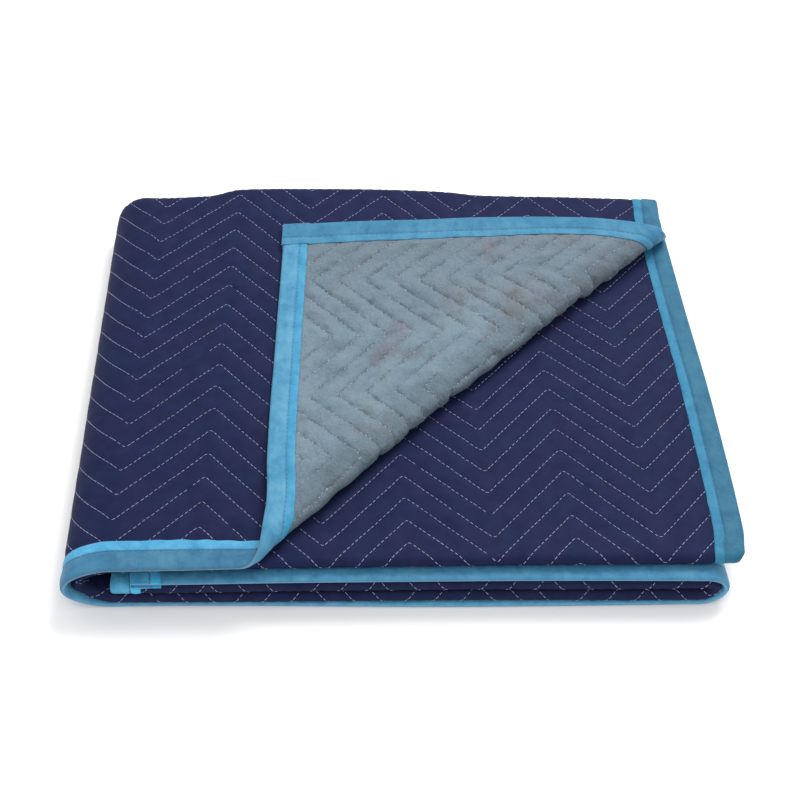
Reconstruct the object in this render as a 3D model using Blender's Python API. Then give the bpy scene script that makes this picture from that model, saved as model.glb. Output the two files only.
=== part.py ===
"""A quilted moving blanket, folded in thirds both ways, with one corner of the top layer turned back.

The blanket is laid out flat first: A runs along its long side and B along its short side, from the corner
that ends up on top. fold_point() then carries every point of the flat cut to its place in the pack.
Across B the cloth lies in three plies (top, base and middle), and that stack of three is folded in thirds
along A, so the pack is nine plies high. Each ply keeps a little air to the next one.
"""

import math
from collections import Counter, namedtuple

import bmesh
import bpy
import numpy as np
from mathutils.geometry import delaunay_2d_cdt

# Cloth
PLY = 0.0056  # thickness of the quilted cloth at the crown of a channel
PITCH = 0.00685  # from one ply to the next in the pack
RELIEF = 0.0013  # depth of a stitched groove on one face
EDGE_PLY = 0.0026  # the cloth is pressed thin inside its binding

# Binding tape, folded over the cut edge
TAPE_WIDTH = 0.027
TAPE_THICK = 0.0009
TAPE_OVERHANG = 0.0016  # how far the tape stands out past the cut edge
TAPE_ROUND = 0.0003  # how much lower the tape starts where it turns over the edge
TAPE_PUFF = 0.0002  # how much fuller it stands just inside that turn
EDGE_GAP = 0.0007  # between the cut edge and the inside of the tape
GAP = 0.0003  # clearance between separate pieces
RAMP = 0.003  # run over which the cloth swells from its pressed edge to its full thickness
QUILT_MARGIN = TAPE_WIDTH + RAMP

# Zigzag quilting: rows of stitches, placed by A and by their depth in the folded pack. A row's far bends are
# the even ones and its near bends the odd ones
Zigzag = namedtuple("Zigzag", "bend half_wave near swing pitch lean tilt")
TOP_ROWS = Zigzag(
    bend=-0.0075,  # A of bend 0
    half_wave=0.0823,  # along A from one bend to the next
    near=-0.2193,  # depth of row 0 at its near bends
    swing=0.0792,  # in depth from bend to bend
    pitch=0.02895,  # in depth from row to row
    lean=-0.031,  # along A for each metre of depth
    tilt=0.0028,  # in depth for each bend along a row
)
MIDDLE_ROWS = Zigzag(-0.0066, 0.0791, -0.1470, 0.0780, 0.0264, 0.055, -0.0006)
SHORTEST_LINE = 0.004
SAME = 1e-5  # places closer than this are one

# Flat cut along B: top ply, back crease, base ply, front crease, middle ply
TOP_END = 0.510
BASE_LENGTH = 0.497
BACK_BEND = math.pi * PITCH
FRONT_BEND = math.pi * PITCH / 2
BACK_END = TOP_END + BACK_BEND
BASE_END = BACK_END + BASE_LENGTH
FRONT_END = BASE_END + FRONT_BEND
SHORT_SIDE = 1.524

# Path of the folded stack along A, in plan and height
X_START = 0.300  # A = 0 on the upper third
X_LEFT = -0.2720  # where the left fold begins
LEFT_REACH = 0.0403  # how far the left fold bulges, at the middle of the stack
X_RIGHT_FRONT = 0.2794  # where the right fold begins, at the front of the pack
X_RIGHT_BACK = 0.2690
RIGHT_REACH = 0.0155
X_TUCKED = -0.2730  # where the lower flap ends, inside the left fold
PACK_FRONT = -0.262
PACK_DEPTH = 0.520
HEIGHT_LOW = PLY / 2 + PITCH  # middle of the stack in the lowest third
HEIGHT_MID = HEIGHT_LOW + 3 * PITCH
HEIGHT_TOP = HEIGHT_MID + 3 * PITCH
LEFT_RADIUS = 3 * PITCH
RIGHT_RADIUS = 1.5 * PITCH

# Facets of each bend
LEFT_STEPS = 8
RIGHT_STEPS = 6
BACK_STEPS = 6
FRONT_STEPS = 5
ROLL_STEPS = 6
CREASE_POINTS = 11

# Turned-back corner: its crease runs from the front edge to the right edge of the top ply
CREASE_FRONT = (-0.1340, -0.2546)
CREASE_RIGHT = (0.2980, 0.1597)
CREASE_BOW = 0.0080  # how far the middle of the crease strays from a straight line, away from the corner
ROLL_FRONT = 0.0092  # radius of the roll at the front end of the crease
ROLL_RIGHT = 0.0105
SETTLE = 0.130  # run over which the turned corner sinks from its roll on to the ply below
SETTLE_LINES = (0.030, 0.065, 0.100, SETTLE)
UNDER_CREASE = 0.020  # the open middle ply is quilted this far in under the roll

NAVY = (0.025, 0.028, 0.095)
GREY = (0.215, 0.285, 0.325)
BLUE = (0.10, 0.44, 0.74)


def half_ellipse(reach, radius):
    """Angles and run of a half ellipse that turns from one ply of the pack to another."""
    angle = np.linspace(0, math.pi, 181)
    step = np.hypot(np.diff(reach * np.sin(angle)), np.diff(radius * np.cos(angle)))
    return angle, np.concatenate([[0], np.cumsum(step)])


LEFT_ANGLE, LEFT_RUN = half_ellipse(LEFT_REACH, LEFT_RADIUS)
RIGHT_ANGLE, RIGHT_RUN = half_ellipse(RIGHT_REACH, RIGHT_RADIUS)
A_LEFT = X_START - X_LEFT
A_LOW = A_LEFT + LEFT_RUN[-1]
A_RIGHT = A_LOW + X_RIGHT_FRONT - X_LEFT
A_MID = A_RIGHT + RIGHT_RUN[-1]
A_TUCKED = A_MID + X_RIGHT_FRONT - X_TUCKED

# Where the ends of each ply lie in depth, at places along A: the top ply's bound edge, the back crease,
# the front crease and the middle ply's free edge
Depths = namedtuple("Depths", "place edge back front free")
DEPTHS = (
    Depths(0.000, -0.2516, 0.2417, -0.2525, 0.2260),
    Depths(0.100, -0.2500, 0.2470, -0.2512, 0.2300),
    Depths(0.200, -0.2496, 0.2527, -0.2500, 0.2330),
    Depths(0.250, -0.2502, 0.2605, -0.2495, 0.2350),
    Depths(0.320, -0.2496, 0.2650, -0.2490, 0.2380),
    Depths(0.370, -0.2474, 0.2668, -0.2490, 0.2388),
    Depths(0.400, -0.2500, 0.2678, -0.2490, 0.2393),
    Depths(0.450, -0.2546, 0.2690, -0.2490, 0.2400),
    Depths(0.478, -0.2546, 0.2685, -0.2492, 0.2395),
    Depths(0.515, -0.2546, 0.2580, -0.2495, 0.2385),
    Depths(A_LEFT, -0.2546, 0.2560, -0.2500, 0.2370),
    Depths(A_LEFT + 0.022, -0.2565, 0.2600, -0.2515, 0.2350),
    Depths((A_LEFT + A_LOW) / 2, -0.2585, 0.2530, -0.2540, 0.2260),
    Depths(A_LOW, -0.2580, 0.2515, -0.2610, 0.2310),
    Depths(A_RIGHT - 0.2, -0.2655, 0.2540, -0.2660, 0.2360),
    Depths(A_RIGHT, -0.2668, 0.2470, -0.2700, 0.2310),
    Depths((A_RIGHT + A_MID) / 2, -0.2640, 0.2400, -0.2660, 0.2250),
    Depths(A_MID, -0.2635, 0.2450, -0.2660, 0.2300),
    Depths(A_MID + 0.25, -0.2585, 0.2530, -0.2620, 0.2350),
    Depths(A_TUCKED, -0.2566, 0.2480, -0.2600, 0.2320),
)

# Cut ends along A, at places along B: the edge on the upper third, and how far the tucked edge strays
CutEnds = namedtuple("CutEnds", "place right tucked")
CUT_ENDS = (
    CutEnds(0.0, -0.0040, -0.019),
    CutEnds(0.08, -0.0115, -0.012),
    CutEnds(0.16, -0.0185, -0.006),
    CutEnds(0.22, -0.0255, -0.003),
    CutEnds(0.28, -0.0285, -0.001),
    CutEnds(0.34, -0.0235, 0.001),
    CutEnds(0.39, -0.0135, 0.001),
    CutEnds(0.47, 0.0025, 0.002),
    CutEnds(TOP_END, 0.0010, 0.002),
    CutEnds(BACK_END, 0.0010, 0.002),
    CutEnds(BASE_END, -0.0150, 0.001),
    CutEnds(FRONT_END, -0.0150, 0.001),
    CutEnds(FRONT_END + 0.03, -0.0180, 0.001),
    CutEnds(SHORT_SIDE, 0.0010, 0.001),
)

# Profile of the tape from its fold over the cut edge to its stitched edge: run over the tape, then for its
# outside and its inside the distance in from the cut edge and the distance from the middle of the ply
TapePoint = namedtuple("TapePoint", "place out_in out_up in_in in_up")
TAPE_UNDER = EDGE_PLY / 2 + GAP
TAPE_OVER = TAPE_UNDER + TAPE_THICK
TAPE_PROFILE = (
    TapePoint(0.0000, -TAPE_OVERHANG, 0.0000, -EDGE_GAP, 0.0000),
    TapePoint(0.0016, -TAPE_OVERHANG, TAPE_OVER - TAPE_ROUND, -EDGE_GAP, TAPE_UNDER),
    TapePoint(0.0060, 0.0050, TAPE_OVER + TAPE_PUFF, 0.0050, TAPE_UNDER),
    TapePoint(0.0180, 0.0180, TAPE_OVER, 0.0180, TAPE_UNDER),
    TapePoint(TAPE_WIDTH, TAPE_WIDTH, TAPE_OVER, TAPE_WIDTH, TAPE_UNDER),
)
LEG_RUNS = [row.place for row in TAPE_PROFILE]
TAPE_RUNS = [-run for run in LEG_RUNS[:0:-1]] + LEG_RUNS  # across the tape, from leg to leg


def read(table, place, column):
    """A column of a table, between its rows."""
    return np.interp(place, [row.place for row in table], [getattr(row, column) for row in table])


def right_end(b):
    return read(CUT_ENDS, b, "right")


def tucked_end(b):
    return A_TUCKED + read(CUT_ENDS, b, "tucked")


def bisect(rising, low, high):
    """The place where a rising function passes through zero."""
    for _ in range(50):
        middle = (low + high) / 2
        low, high = (middle, high) if rising(middle) < 0 else (low, middle)
    return (low + high) / 2


# From the flat cut to the folded pack


def limits(a):
    """Depths between which the plies lie: bound edge, back crease, front crease and free edge."""
    back = read(DEPTHS, a, "back") - PITCH - PLY / 2
    front = read(DEPTHS, a, "front") + (PITCH + PLY) / 2
    return read(DEPTHS, a, "edge"), back, front, read(DEPTHS, a, "free")


def section(a, b):
    """Depth y, height w in the stack of three, and the outward normal (ny, nw) of the navy face."""
    edge, back, front, free = limits(a)
    turn_back = np.pi / 2 - np.clip((b - TOP_END) / BACK_BEND, 0, 1) * np.pi
    turn_front = np.clip((b - BASE_END) / FRONT_BEND, 0, 1) * np.pi
    zero, one = np.zeros_like(b), np.ones_like(b)
    cases = [b <= TOP_END, b <= BACK_END, b <= BASE_END, b <= FRONT_END]
    depths = [
        edge + (back - edge) * b / TOP_END,
        back + PITCH * np.cos(turn_back),
        back + (front - back) * (b - BACK_END) / BASE_LENGTH,
        front - PITCH / 2 * np.sin(turn_front),
    ]
    heights = [
        PITCH * one,
        PITCH * np.sin(turn_back),
        -PITCH * one,
        -PITCH / 2 * (1 + np.cos(turn_front)),
    ]
    y = np.select(cases, depths, front + (free - front) * (b - FRONT_END) / (SHORT_SIDE - FRONT_END))
    w = np.select(cases, heights, zero)
    ny = np.select(cases, [zero, np.cos(turn_back), zero, -np.sin(turn_front)], zero)
    nw = np.select(cases, [one, np.sin(turn_back), -one, -np.cos(turn_front)], one)
    return y, w, ny, nw


def path(a, y, w):
    """Plan x and height z of the stack of three along A, at height w in the stack."""
    right = X_RIGHT_FRONT + (X_RIGHT_BACK - X_RIGHT_FRONT) * (y - PACK_FRONT) / PACK_DEPTH
    left_turn = np.interp(a - A_LEFT, LEFT_RUN, LEFT_ANGLE)
    right_turn = np.interp(a - A_RIGHT, RIGHT_RUN, RIGHT_ANGLE)
    cases = [a <= A_LEFT, a <= A_LOW, a <= A_RIGHT, a <= A_MID]
    plan = [
        X_START - a,
        X_LEFT - (LEFT_REACH + w) * np.sin(left_turn),
        X_LEFT + (right - X_LEFT) * (a - A_LOW) / (A_RIGHT - A_LOW),
        right + (RIGHT_REACH + w) * np.sin(right_turn),
    ]
    heights = [
        HEIGHT_TOP + w,
        HEIGHT_MID + (LEFT_RADIUS + w) * np.cos(left_turn),
        HEIGHT_LOW - w,
        (HEIGHT_LOW + HEIGHT_MID) / 2 - (RIGHT_RADIUS + w) * np.cos(right_turn),
    ]
    return np.select(cases, plan, right - (a - A_MID)), np.select(cases, heights, HEIGHT_MID + w)


def crease_frame():
    """Start of the corner's crease, its direction, its length, and the direction of the corner."""
    start = np.array(CREASE_FRONT)
    run = np.array(CREASE_RIGHT) - start
    length = math.hypot(*run)
    along = run / length
    return start, along, length, np.array([along[1], -along[0]])


def crease_bow(share):
    """How far the crease lies from its chord, at a share of its length."""
    return -4 * CREASE_BOW * share * (1 - share)


def past_crease(x, y):
    """Share of the crease's length beside a point in plan, and the point's distance past the crease."""
    start, along, length, across = crease_frame()
    dx, dy = x - start[0], y - start[1]
    share = (dx * along[0] + dy * along[1]) / length
    return share, dx * across[0] + dy * across[1] - crease_bow(share)


def turn_corner(x, y, z, n):
    """Points n above the middle of the top ply, with the corner past the crease turned back over the rest."""
    share, e = past_crease(x, y)
    across = crease_frame()[3]
    radius = ROLL_FRONT + (ROLL_RIGHT - ROLL_FRONT) * share
    half = radius * np.pi / 2
    turn = np.clip((e + half) / radius, 0, np.pi)
    settled = np.clip((e - half) / SETTLE, 0, 1)
    lift = PITCH + (2 * radius - PITCH) * (1 - settled) ** 2 * (1 + 2 * settled)
    new_e = np.where(e > half, -e, -half + (radius - n) * np.sin(turn))
    rise = np.where(e > half, lift - n, radius - (radius - n) * np.cos(turn))
    turned = e > -half
    move = np.where(turned, new_e - e, 0)
    return x + move * across[0], y + move * across[1], np.where(turned, z + rise, z + n)


def fold_point(a, b, n):
    """Flat cut to folded pack: n is the distance from the middle of the ply, positive on the navy face."""
    a, b, n = (np.asarray(v, float) for v in (a, b, n))
    y, w, ny, nw = section(a, b)
    x, z = path(a, y, w + n * nw)
    flat_x, flat_z = path(a, y, w)
    turned = turn_corner(flat_x, y, flat_z, n)
    on_corner = (a <= A_LEFT) & (b <= TOP_END)
    return np.stack([np.where(on_corner, t, v) for t, v in zip(turned, (x, y + n * ny, z))], axis=-1)


# Lines in the flat cut where the cloth bends


def fold_places_a():
    """Places along A where the pack bends or its depth changes."""
    thirds = ((0, A_LEFT), (A_LOW, A_RIGHT), (A_MID, A_TUCKED))
    flat = [row.place for row in DEPTHS if any(low < row.place < high for low, high in thirds)]
    left = A_LEFT + np.interp(np.linspace(0, np.pi, LEFT_STEPS + 1), LEFT_ANGLE, LEFT_RUN)
    right = A_RIGHT + np.interp(np.linspace(0, np.pi, RIGHT_STEPS + 1), RIGHT_ANGLE, RIGHT_RUN)
    return sorted(float(a) for a in [*flat, *left, *right])


def fold_places_b():
    """Places along B where the cloth turns."""
    back = np.linspace(TOP_END, BACK_END, BACK_STEPS + 1)
    front = np.linspace(BASE_END, FRONT_END, FRONT_STEPS + 1)
    return [float(b) for b in [*back, *front]]


def cut_place(x, y):
    """A and B of a point of the top ply in plan, before its corner is turned back."""
    edge, back, _, _ = limits(X_START - x)
    return float(X_START - x), float((y - edge) / (back - edge) * TOP_END)


def crease_offsets():
    """Distances past the crease, at its front and right ends, of the lines where the corner bends."""
    turns = np.linspace(-np.pi / 2, np.pi / 2, ROLL_STEPS + 1)
    rolled = [(ROLL_FRONT * turn, ROLL_RIGHT * turn) for turn in turns]
    front, right = rolled[-1]
    return rolled + [(front + run, right + run) for run in SETTLE_LINES]


def crease_line(offsets):
    """A line along the crease, as a function from a share of its length to A and B."""
    start, along, length, across = crease_frame()

    def at(share):
        offset = offsets[0] + (offsets[1] - offsets[0]) * share + crease_bow(share)
        return cut_place(*(start + share * length * along + offset * across))

    return at


def front_crossing(at, inset):
    """Share of a crease line's length where it is this far in from the front edge."""
    return bisect(lambda share: at(share)[1] - inset, -0.3, 0.5)


def right_crossing(at, inset):
    """The same for the right edge."""
    return bisect(lambda share: right_end(at(share)[1]) + inset - at(share)[0], 0.5, 1.3)


def crease_lines():
    """Lines along the corner's crease, as points (a, b) from the front edge to the right edge."""
    lines = []
    for offsets in crease_offsets():
        at = crease_line(offsets)
        shares = np.linspace(front_crossing(at, 0), right_crossing(at, 0), CREASE_POINTS)
        points = [at(share) for share in shares]
        points[0] = (points[0][0], 0.0)
        points[-1] = (float(right_end(points[-1][1])), points[-1][1])
        lines.append(points)
    return lines


# Quilting


def inner(a, b, margin):
    """Where the flat cut is more than a margin in from every edge."""
    across = (b > margin) & (b < SHORT_SIDE - margin)
    return across & (a > right_end(b) + margin) & (a < tucked_end(b) - margin)


def top_quilted(a, b):
    """Navy face: the top ply over its upper third, both folds and the back crease."""
    shown = (a < A_LOW) | ((A_RIGHT < a) & (a < A_MID))
    return shown & (b < BACK_END) & inner(a, b, QUILT_MARGIN)


def middle_quilted(a, b):
    """Navy face: the middle ply where the turned corner leaves it open."""
    past = past_crease(X_START - a, section(a, b)[0])[1]
    return (FRONT_END < b) & (a < A_LEFT) & (past > -UNDER_CREASE) & inner(a, b, QUILT_MARGIN)


def corner_quilted(a, b):
    """Grey face: the turned corner."""
    past = past_crease(X_START - a, section(a, b)[0])[1]
    return (b < TOP_END) & (a < A_LEFT) & (past > ROLL_RIGHT * np.pi / 2) & inner(a, b, QUILT_MARGIN)


def crossing(p, q, inside):
    """The point between p and q where a stitch line passes in or out."""
    starts_inside = inside(*p)
    low, high = 0.0, 1.0
    for _ in range(30):
        middle = (low + high) / 2
        same = inside(*(p + (q - p) * middle)) == starts_inside
        low, high = (middle, high) if same else (low, middle)
    return tuple(p + (q - p) * low)


def stretches(points, inside):
    """The parts of a polyline that lie inside, with their ends on the limit."""
    runs, run = [], []
    for start, end in zip(points, points[1:]):
        steps = max(2, math.ceil(math.dist(start, end) / SHORTEST_LINE))
        samples = np.linspace(start, end, steps + 1)
        states = inside(*samples.T)
        if states[0] and not run:
            run = [start]
        for k in np.flatnonzero(states[:-1] != states[1:]):
            limit = crossing(samples[k], samples[k + 1], inside)
            if states[k]:
                runs.append(run + [limit])
                run = []
            else:
                run = [limit]
        if states[-1]:
            run.append(end)
    runs.append(run)
    return [r for r in runs if len(r) > 1 and math.dist(r[0], r[-1]) > SHORTEST_LINE]


def top_depth(a, b):
    """Depth along the top ply, carried on straight over the back crease."""
    edge, back, _, _ = limits(a)
    return np.where(b <= TOP_END, edge + (back - edge) * b / TOP_END, back + b - TOP_END)


def top_place(a, y):
    """B of a depth on the top ply or the back crease."""
    edge, back, _, _ = limits(a)
    return np.where(y <= back, (y - edge) / (back - edge) * TOP_END, TOP_END + y - back)


def middle_depth(a, b):
    """Depth along the middle ply."""
    _, _, front, free = limits(a)
    return front + (free - front) * (b - FRONT_END) / (SHORT_SIDE - FRONT_END)


def middle_place(a, y):
    """B of a depth on the middle ply."""
    _, _, front, free = limits(a)
    return FRONT_END + (y - front) / (free - front) * (SHORT_SIDE - FRONT_END)


def bend_place(rows, bend, row):
    """A and depth of one bend of a row."""
    y = rows.near + rows.tilt * bend + rows.pitch * row + (rows.swing if bend % 2 == 0 else 0)
    return np.array([rows.bend + rows.half_wave * bend + rows.lean * y, y])


def stitch_lines(rows, place_of, inside, last_a, depths):
    """Grooves and the crowns between them, as polylines kept where the cloth is quilted."""
    lines, folds = [], np.array(fold_places_a())
    bends = range(-1, math.ceil((last_a - rows.bend) / rows.half_wave) + 2)
    tilted = rows.tilt * bends[-1]
    low = math.floor((depths[0] - rows.near - rows.swing - max(tilted, 0)) / rows.pitch)
    high = math.ceil((depths[1] - rows.near - min(tilted, 0)) / rows.pitch)
    for half_step in range(2 * low, 2 * high + 1):
        points = []
        for bend in bends:
            start, end = (bend_place(rows, k, half_step / 2) for k in (bend, bend + 1))
            crossed = folds[(folds > start[0]) & (folds < end[0])]
            shares = np.concatenate([[0], (crossed - start[0]) / (end[0] - start[0])])
            points += [start + share * (end - start) for share in shares]
        a, y = np.array(points).T
        lines += stretches(list(zip(a.tolist(), place_of(a, y).tolist())), inside)
    return lines


def navy_lines():
    top = stitch_lines(TOP_ROWS, top_place, top_quilted, A_MID, (-0.27, 0.30))
    return top + stitch_lines(MIDDLE_ROWS, middle_place, middle_quilted, A_LEFT, (-0.26, 0.25))


def grey_lines():
    return stitch_lines(TOP_ROWS, top_place, corner_quilted, A_LEFT, (-0.27, 0.27))


def row_count(rows, a, y):
    """Counts the rows of stitches across the cloth: a whole number on each row."""
    bend = (a - rows.lean * y - rows.bend) / rows.half_wave
    wave = np.mod(bend, 2)
    to_far = np.minimum(wave, 2 - wave)
    return (y - rows.near - rows.tilt * bend - rows.swing * (1 - to_far)) / rows.pitch


def line_phase(a, b):
    """Row count of a point of the flat cut."""
    on_top = row_count(TOP_ROWS, a, top_depth(a, b))
    on_middle = row_count(MIDDLE_ROWS, a, middle_depth(a, b))
    return np.where(b < (BACK_END + BASE_END) / 2, on_top, on_middle)


def half_thickness(a, b, quilted):
    """Distance of one face from the middle of the ply."""
    to_edge = np.min([b, SHORT_SIDE - b, a - right_end(b), tucked_end(b) - a], axis=0)
    swelled = np.clip((to_edge - TAPE_WIDTH) / RAMP, 0, 1)
    groove = np.abs(1 - 2 * np.mod(line_phase(a, b), 1))
    flat = (a > A_LOW - SAME) & (a < A_RIGHT + SAME) & (b < TOP_END + SAME)  # the underside, with the fold lines
    loss = np.where(flat, 0, np.where(quilted, RELIEF * groove, RELIEF / 2))
    return EDGE_PLY / 2 + (PLY / 2 - loss - EDGE_PLY / 2) * swelled


# Meshes


def triangulate(outline, lines):
    """Triangles of a flat outline that keep every given line as edges."""
    points, edges = [], []
    for line in [outline + outline[:1]] + lines:
        first = len(points)
        points += line
        edges += [(first + k, first + k + 1) for k in range(len(line) - 1)]
    result = delaunay_2d_cdt([tuple(p) for p in points], edges, [], 1, 2e-6)
    return np.array([tuple(p) for p in result[0]], float), [tuple(f) for f in result[2]]


def rim(faces):
    """Edges with one face, in the direction of that face."""
    sides = [(f[k], f[(k + 1) % len(f)]) for f in faces for k in range(len(f))]
    used = Counter(frozenset(side) for side in sides)
    return [side for side in sides if used[frozenset(side)] == 1]


def closed_sheet(name, skins, materials):
    """One closed mesh from two skins, each (flat points, faces, shaped points, whether it is turned over)."""
    vertices, polygons, owners, rims = [], [], [], []
    for number, (flat, faces, shaped, turned_over) in enumerate(skins):
        first = len(vertices)
        vertices += [tuple(v) for v in shaped]
        polygons += [tuple(first + k for k in (f[::-1] if turned_over else f)) for f in faces]
        owners += [number % len(materials)] * len(faces)
        keys = [tuple(np.round(p, 5)) for p in flat]
        rims.append({(keys[i], keys[j]): (first + i, first + j) for i, j in rim(faces)})
    if rims[0].keys() != rims[1].keys():
        raise ValueError(f"{name}: the two skins end at different points")
    for key, (i, j) in rims[0].items():
        k, m = rims[1][key]
        polygons.append((i, j, m, k))
        owners.append(0)
    mesh = bpy.data.meshes.new(name)
    mesh.from_pydata(vertices, [], polygons)
    mesh.polygons.foreach_set("material_index", owners)
    for material in materials:
        mesh.materials.append(material)
    shape = bmesh.new()
    shape.from_mesh(mesh)
    bmesh.ops.remove_doubles(shape, verts=shape.verts, dist=1e-6)
    bmesh.ops.triangulate(shape, faces=[f for f in shape.faces if len(f.verts) > 3])
    bmesh.ops.recalc_face_normals(shape, faces=shape.faces)
    shape.to_mesh(mesh)
    shape.free()
    mesh.shade_smooth()
    mesh.set_sharp_from_angle(angle=math.radians(35))
    obj = bpy.data.objects.new(name, mesh)
    bpy.context.scene.collection.objects.link(obj)
    return obj


def cloth_outline():
    """Outline of the flat cut, with a point at the end of every line that both faces share."""
    margins = [TAPE_WIDTH, QUILT_MARGIN]
    creases, places_a = crease_lines(), fold_places_a()
    inner_b = [row.place for row in CUT_ENDS] + fold_places_b() + margins
    inner_b += [SHORT_SIDE - margin for margin in margins]
    tucked_b = sorted({b for b in inner_b if 0 < b < SHORT_SIDE})
    right_b = sorted(tucked_b + [line[-1][1] for line in creases])
    near_a = places_a + [line[0][0] for line in creases]
    near_a += [float(right_end(0)) + m for m in [0.0] + margins]
    near_a += [float(tucked_end(0)) - m for m in [0.0] + margins]
    far_a = places_a + [float(right_end(SHORT_SIDE)) + m for m in [0.0] + margins]
    far_a += [float(tucked_end(SHORT_SIDE)) - m for m in [0.0] + margins]
    outline = [(a, 0.0) for a in sorted(near_a)]
    outline += [(float(tucked_end(b)), b) for b in tucked_b]
    outline += [(a, SHORT_SIDE) for a in sorted(far_a, reverse=True)]
    return outline + [(float(right_end(b)), b) for b in right_b[::-1]]


def cloth_lines():
    """Lines that both faces of the cloth share: folds, creases and the edges of the binding."""
    lines = [[(a, 0.0), (a, SHORT_SIDE)] for a in fold_places_a()]
    across = fold_places_b()
    for margin in (TAPE_WIDTH, QUILT_MARGIN):
        across += [margin, SHORT_SIDE - margin]
        lines.append([(float(right_end(row.place)) + margin, row.place) for row in CUT_ENDS])
        lines.append([(float(tucked_end(row.place)) - margin, row.place) for row in CUT_ENDS])
    lines += [[(float(right_end(b)), b), (float(tucked_end(b)), b)] for b in across]
    return lines + crease_lines()


def quilted_cloth(navy, grey):
    """The cloth: shell, wadding and backing quilted into one padded sheet."""
    skins = []
    for side, lines in ((1, navy_lines()), (-1, grey_lines())):
        flat, faces = triangulate(cloth_outline(), cloth_lines() + lines)
        a, b = flat.T
        quilted = top_quilted(a, b) | middle_quilted(a, b) if side > 0 else corner_quilted(a, b)
        shaped = fold_point(a, b, side * half_thickness(a, b, quilted))
        skins.append((flat, faces, shaped, side > 0))
    return closed_sheet("quilted_cloth", skins, [navy, grey])


def binding(name, material, ends, places, to_cut, lines=()):
    """Tape along one edge: its flat form is (place along the edge, run across the tape from leg to leg)."""
    first, last = ends
    low, high = TAPE_RUNS[0], TAPE_RUNS[-1]
    places = [p for p in places if first < p < last]
    outline = [(first, low)]
    outline += [(p, low) for p in sorted(places + [line[0][0] for line in lines])]
    outline += [(last, run) for run in TAPE_RUNS]
    outline += [(p, high) for p in sorted(places + [line[-1][0] for line in lines], reverse=True)]
    outline += [(first, run) for run in TAPE_RUNS[:0:-1]]
    inside = [[(p, low), (p, high)] for p in places]
    inside += [[(first, run), (last, run)] for run in TAPE_RUNS[1:-1]]
    flat, faces = triangulate(outline, inside + list(lines))
    along, run = flat.T
    skins = []
    for inset, offset, turned_over in (("out_in", "out_up", True), ("in_in", "in_up", False)):
        a, b = to_cut(along, read(TAPE_PROFILE, abs(run), inset))
        shaped = fold_point(a, b, np.sign(run) * read(TAPE_PROFILE, abs(run), offset))
        skins.append((flat, faces, shaped, turned_over))
    return closed_sheet(name, skins, [material])


def tape_crease_lines(crossing_at, axis):
    """The corner's crease lines carried on to a tape, as points (along, run) from leg to leg."""
    insets = [float(read(TAPE_PROFILE, abs(run), "in_in")) for run in TAPE_RUNS]
    lines = []
    for offsets in crease_offsets():
        at = crease_line(offsets)
        lines.append([(at(crossing_at(at, inset))[axis], run) for run, inset in zip(TAPE_RUNS, insets)])
    return lines


def long_bindings(material):
    """The tapes along the two long edges, with square ends past the short edges."""
    near, far = (
        (float(right_end(b)) - TAPE_OVERHANG, float(tucked_end(b)) + TAPE_OVERHANG) for b in (0, SHORT_SIDE)
    )
    places = fold_places_a()
    creases = tape_crease_lines(front_crossing, 0)
    corner = [near[0] + TAPE_WIDTH]
    binding("binding_front", material, near, places + corner, lambda a, inset: (a, inset), creases)
    binding("binding_inner", material, far, places, lambda a, inset: (a, SHORT_SIDE - inset))


def short_bindings(material):
    """The tapes along the two short edges, between the long ones."""
    ends = (TAPE_WIDTH + GAP, SHORT_SIDE - TAPE_WIDTH - GAP)
    places = sorted({*fold_places_b(), *[row.place for row in CUT_ENDS]})
    creases = tape_crease_lines(right_crossing, 1)
    binding("binding_right", material, ends, places, lambda b, inset: (right_end(b) + inset, b), creases)
    binding("binding_tucked", material, ends, places, lambda b, inset: (tucked_end(b) - inset, b))


def cloth_material(name, colour, roughness):
    material = bpy.data.materials.new(name)
    material.use_nodes = True
    shader = material.node_tree.nodes["Principled BSDF"]
    shader.inputs["Base Color"].default_value = (*colour, 1)
    shader.inputs["Roughness"].default_value = roughness
    shader.inputs["Metallic"].default_value = 0
    return material


def main():
    for old in list(bpy.data.objects):
        bpy.data.objects.remove(old)
    quilted_cloth(cloth_material("navy_shell", NAVY, 0.75), cloth_material("grey_backing", GREY, 0.95))
    tape = cloth_material("blue_tape", BLUE, 0.6)
    long_bindings(tape)
    short_bindings(tape)


main()
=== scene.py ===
"""A quilted moving blanket, folded in thirds both ways, with one corner of the top layer turned back.

The cloth is laid out flat first: A runs along its long side and B along its short side, from the corner that
ends up on top. fold_point() carries every point of the flat cut to its place in the pack, as in the solids.
Both faces get puffed zigzag channels, the binding gets its folded strips, and every row its stitches.
"""

import math
from collections import Counter, namedtuple

import bmesh
import bpy
import numpy as np
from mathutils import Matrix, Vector
from mathutils.geometry import delaunay_2d_cdt

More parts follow.
